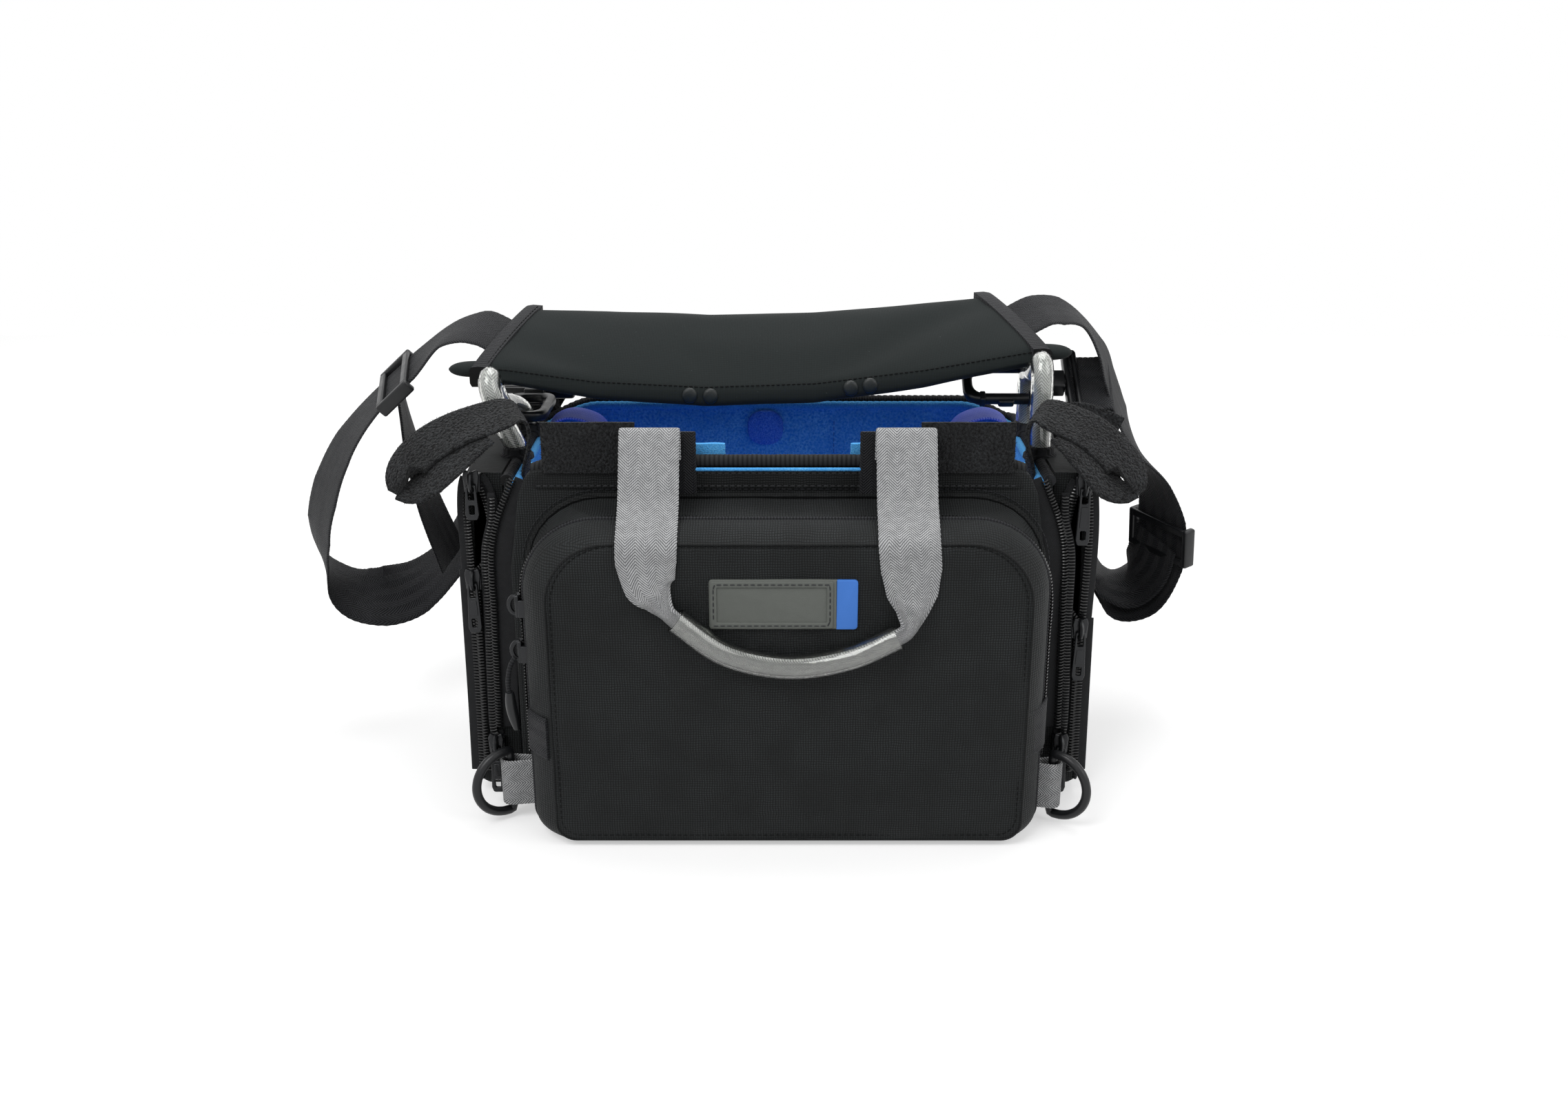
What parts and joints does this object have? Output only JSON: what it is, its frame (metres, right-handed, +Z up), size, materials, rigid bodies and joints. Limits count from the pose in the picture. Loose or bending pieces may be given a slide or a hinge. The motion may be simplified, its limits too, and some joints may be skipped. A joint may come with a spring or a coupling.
{
  "type": "audio mixer shoulder bag",
  "caption": "Soft padded shoulder bag with an open top, zipped front and side pockets, a webbing grab handle, side hoops and a padded carrying strap.",
  "frame": {"origin": "middle of the underside of the base panel, in width", "axes": "+X to the bag's right as seen from the front, +Y to the back, +Z up; the front pocket faces -Y"},
  "size_m": [0.5275, 0.24, 0.2582],
  "materials": {
    "black_nylon": "woven ballistic nylon, coated back",
    "black_webbing": "woven polyamide webbing",
    "zip_coil": "polyester coil teeth on woven tape",
    "black_plastic": "moulded acetal, fine grain",
    "neoprene": "jersey faced foam",
    "loop_tape": "brushed loop pile",
    "blue_fleece": "brushed loop lining on foam",
    "blue_webbing": "woven polypropylene webbing",
    "grey_webbing": "woven polyester webbing",
    "clear_tube": "clear extruded vinyl tube",
    "rubber_patch": "moulded rubber patch",
    "zinc_alloy": "die cast zinc, black lacquer"
  },
  "bodies": {
    "root": {"body_shell": "black_nylon", "blue_lining": "blue_fleece", "base_panel": "black_nylon", "corner_zip_side_row_left": "zip_coil", "side_pocket_left": "black_nylon", "side_zip_left": "zip_coil", "inner_strap_left": "blue_webbing", "cable_strap_left": "loop_tape", "side_hoop_left": "clear_tube", "strap_left": "black_webbing", "strap_adjuster_left": "black_plastic", "hook_eye_left": "black_plastic", "corner_zip_side_row_right": "zip_coil", "side_pocket_right": "black_nylon", "side_zip_right": "zip_coil", "inner_strap_right": "blue_webbing", "cable_strap_right": "loop_tape", "side_hoop_right": "clear_tube", "strap_right": "black_webbing", "strap_adjuster_right": "black_plastic", "hook_eye_right": "black_plastic"},
    "front": {"front_panel": "black_nylon", "front_lining": "blue_fleece", "front_rim": "black_webbing", "front_pocket_gusset": "black_nylon", "front_pocket_cover": "black_nylon", "front_pocket_zip": "zip_coil", "blank_patch": "rubber_patch", "rim_tape_tab_left": "loop_tape", "divider_tab_left": "blue_fleece", "handle_anchor_left": "black_webbing", "corner_zip_front_row_left": "zip_coil", "ring_tab_left": "grey_webbing", "rim_tape_tab_right": "loop_tape", "divider_tab_right": "blue_fleece", "handle_anchor_right": "black_webbing", "corner_zip_front_row_right": "zip_coil", "ring_tab_right": "grey_webbing"},
    "handle": {"handle_webbing": "grey_webbing", "handle_tube": "clear_tube"},
    "shoulder_pad": {"shoulder_pad": "neoprene"},
    "corner_slider_left": {"corner_slider_left": "zinc_alloy"},
    "corner_pull_left": {"corner_pull_left": "zinc_alloy"},
    "side_upper_slider_left": {"side_upper_slider_left": "zinc_alloy"},
    "side_upper_pull_left": {"side_upper_pull_left": "zinc_alloy"},
    "side_lower_slider_left": {"side_lower_slider_left": "zinc_alloy"},
    "side_lower_pull_left": {"side_lower_pull_left": "zinc_alloy"},
    "corner_slider_right": {"corner_slider_right": "zinc_alloy"},
    "corner_pull_right": {"corner_pull_right": "zinc_alloy"},
    "side_upper_slider_right": {"side_upper_slider_right": "zinc_alloy"},
    "side_upper_pull_right": {"side_upper_pull_right": "zinc_alloy"},
    "side_lower_slider_right": {"side_lower_slider_right": "zinc_alloy"},
    "side_lower_pull_right": {"side_lower_pull_right": "zinc_alloy"},
    "front_pocket_slider_upper": {"front_pocket_slider_upper": "zinc_alloy"},
    "front_pocket_slider_lower": {"front_pocket_slider_lower": "zinc_alloy"},
    "corner_ring_left": {"corner_ring_left": "black_plastic"},
    "corner_ring_right": {"corner_ring_right": "black_plastic"},
    "snap_hook_left": {"snap_hook_left": "black_plastic"},
    "snap_hook_right": {"snap_hook_right": "black_plastic"}
  },
  "joints": [
    {"name": "front_panel_fold", "type": "hinge", "parent": "root", "child": "front", "pos_m": [0, -0.068, 0.004], "axis": [1, 0, 0], "range_deg": [0, 10]},
    {"name": "handle_swing", "type": "hinge", "parent": "front", "child": "handle", "pos_m": [0, -0.079, 0.2105], "axis": [-1, 0, 0], "range_deg": [0, 150]},
    {"name": "shoulder_pad_lift", "type": "slide", "parent": "root", "child": "shoulder_pad", "axis": [0, 0, 1], "range_m": [0, 0.03]},
    {"name": "corner_slider_left_run", "type": "slide", "parent": "root", "child": "corner_slider_left", "axis": [0.022, 0, 0.9998], "range_m": [-0.006, 0.1]},
    {"name": "corner_pull_left_swing", "type": "hinge", "parent": "corner_slider_left", "child": "corner_pull_left", "pos_m": [-0.1533, -0.0707, 0.03415], "axis": [-1, 0, 0], "range_deg": [0, 20]},
    {"name": "side_upper_slider_left_run", "type": "slide", "parent": "root", "child": "side_upper_slider_left", "axis": [-0.0548, 0, -0.9985], "range_m": [0, 0.025]},
    {"name": "side_upper_pull_left_swing", "type": "hinge", "parent": "side_upper_slider_left", "child": "side_upper_pull_left", "pos_m": [-0.158, -0.0645, 0.18115], "axis": [-1, 0, 0], "range_deg": [0, 90]},
    {"name": "side_lower_slider_left_run", "type": "slide", "parent": "root", "child": "side_lower_slider_left", "axis": [-0.0125, 0, -0.9999], "range_m": [0, 0.09]},
    {"name": "side_lower_pull_left_swing", "type": "hinge", "parent": "side_lower_slider_left", "child": "side_lower_pull_left", "pos_m": [-0.1608, -0.0645, 0.12715], "axis": [-1, 0, 0], "range_deg": [0, 90]},
    {"name": "corner_slider_right_run", "type": "slide", "parent": "root", "child": "corner_slider_right", "axis": [-0.022, 0, 0.9998], "range_m": [-0.006, 0.1]},
    {"name": "corner_pull_right_swing", "type": "hinge", "parent": "corner_slider_right", "child": "corner_pull_right", "pos_m": [0.1533, -0.0707, 0.03415], "axis": [-1, 0, 0], "range_deg": [0, 20]},
    {"name": "side_upper_slider_right_run", "type": "slide", "parent": "root", "child": "side_upper_slider_right", "axis": [0.0363, 0, -0.9993], "range_m": [0, 0.04]},
    {"name": "side_upper_pull_right_swing", "type": "hinge", "parent": "side_upper_slider_right", "child": "side_upper_pull_right", "pos_m": [0.158, -0.0645, 0.17915], "axis": [-1, 0, 0], "range_deg": [0, 90]},
    {"name": "side_lower_slider_right_run", "type": "slide", "parent": "root", "child": "side_lower_slider_right", "axis": [0.0163, 0, -0.9999], "range_m": [0, 0.06]},
    {"name": "side_lower_pull_right_swing", "type": "hinge", "parent": "side_lower_slider_right", "child": "side_lower_pull_right", "pos_m": [0.1608, -0.0645, 0.09915], "axis": [-1, 0, 0], "range_deg": [0, 90]},
    {"name": "front_pocket_slider_upper_run", "type": "slide", "parent": "front", "child": "front_pocket_slider_upper", "axis": [0, 0, 1], "range_m": [-0.005, 0.009]},
    {"name": "front_pocket_slider_lower_run", "type": "slide", "parent": "front", "child": "front_pocket_slider_lower", "axis": [0, 0, 1], "range_m": [-0.05, 0.005]},
    {"name": "corner_ring_left_swing", "type": "hinge", "parent": "front", "child": "corner_ring_left", "pos_m": [-0.1435, -0.083, 0.022], "axis": [0, 0, 1], "range_deg": [-35, 60]},
    {"name": "corner_ring_right_swing", "type": "hinge", "parent": "front", "child": "corner_ring_right", "pos_m": [0.146, -0.088, 0.0225], "axis": [0, 0, 1], "range_deg": [-60, 35]},
    {"name": "snap_hook_left_swivel", "type": "hinge", "parent": "root", "child": "snap_hook_left", "pos_m": [-0.1442, 0.0582, 0.1965], "axis": [0, 1, 0], "range_deg": [-8, 8]},
    {"name": "snap_hook_right_swivel", "type": "hinge", "parent": "root", "child": "snap_hook_right", "pos_m": [0.1465, 0.0244, 0.214], "axis": [1, 0, 0], "range_deg": [-8, 8]}
  ]
}
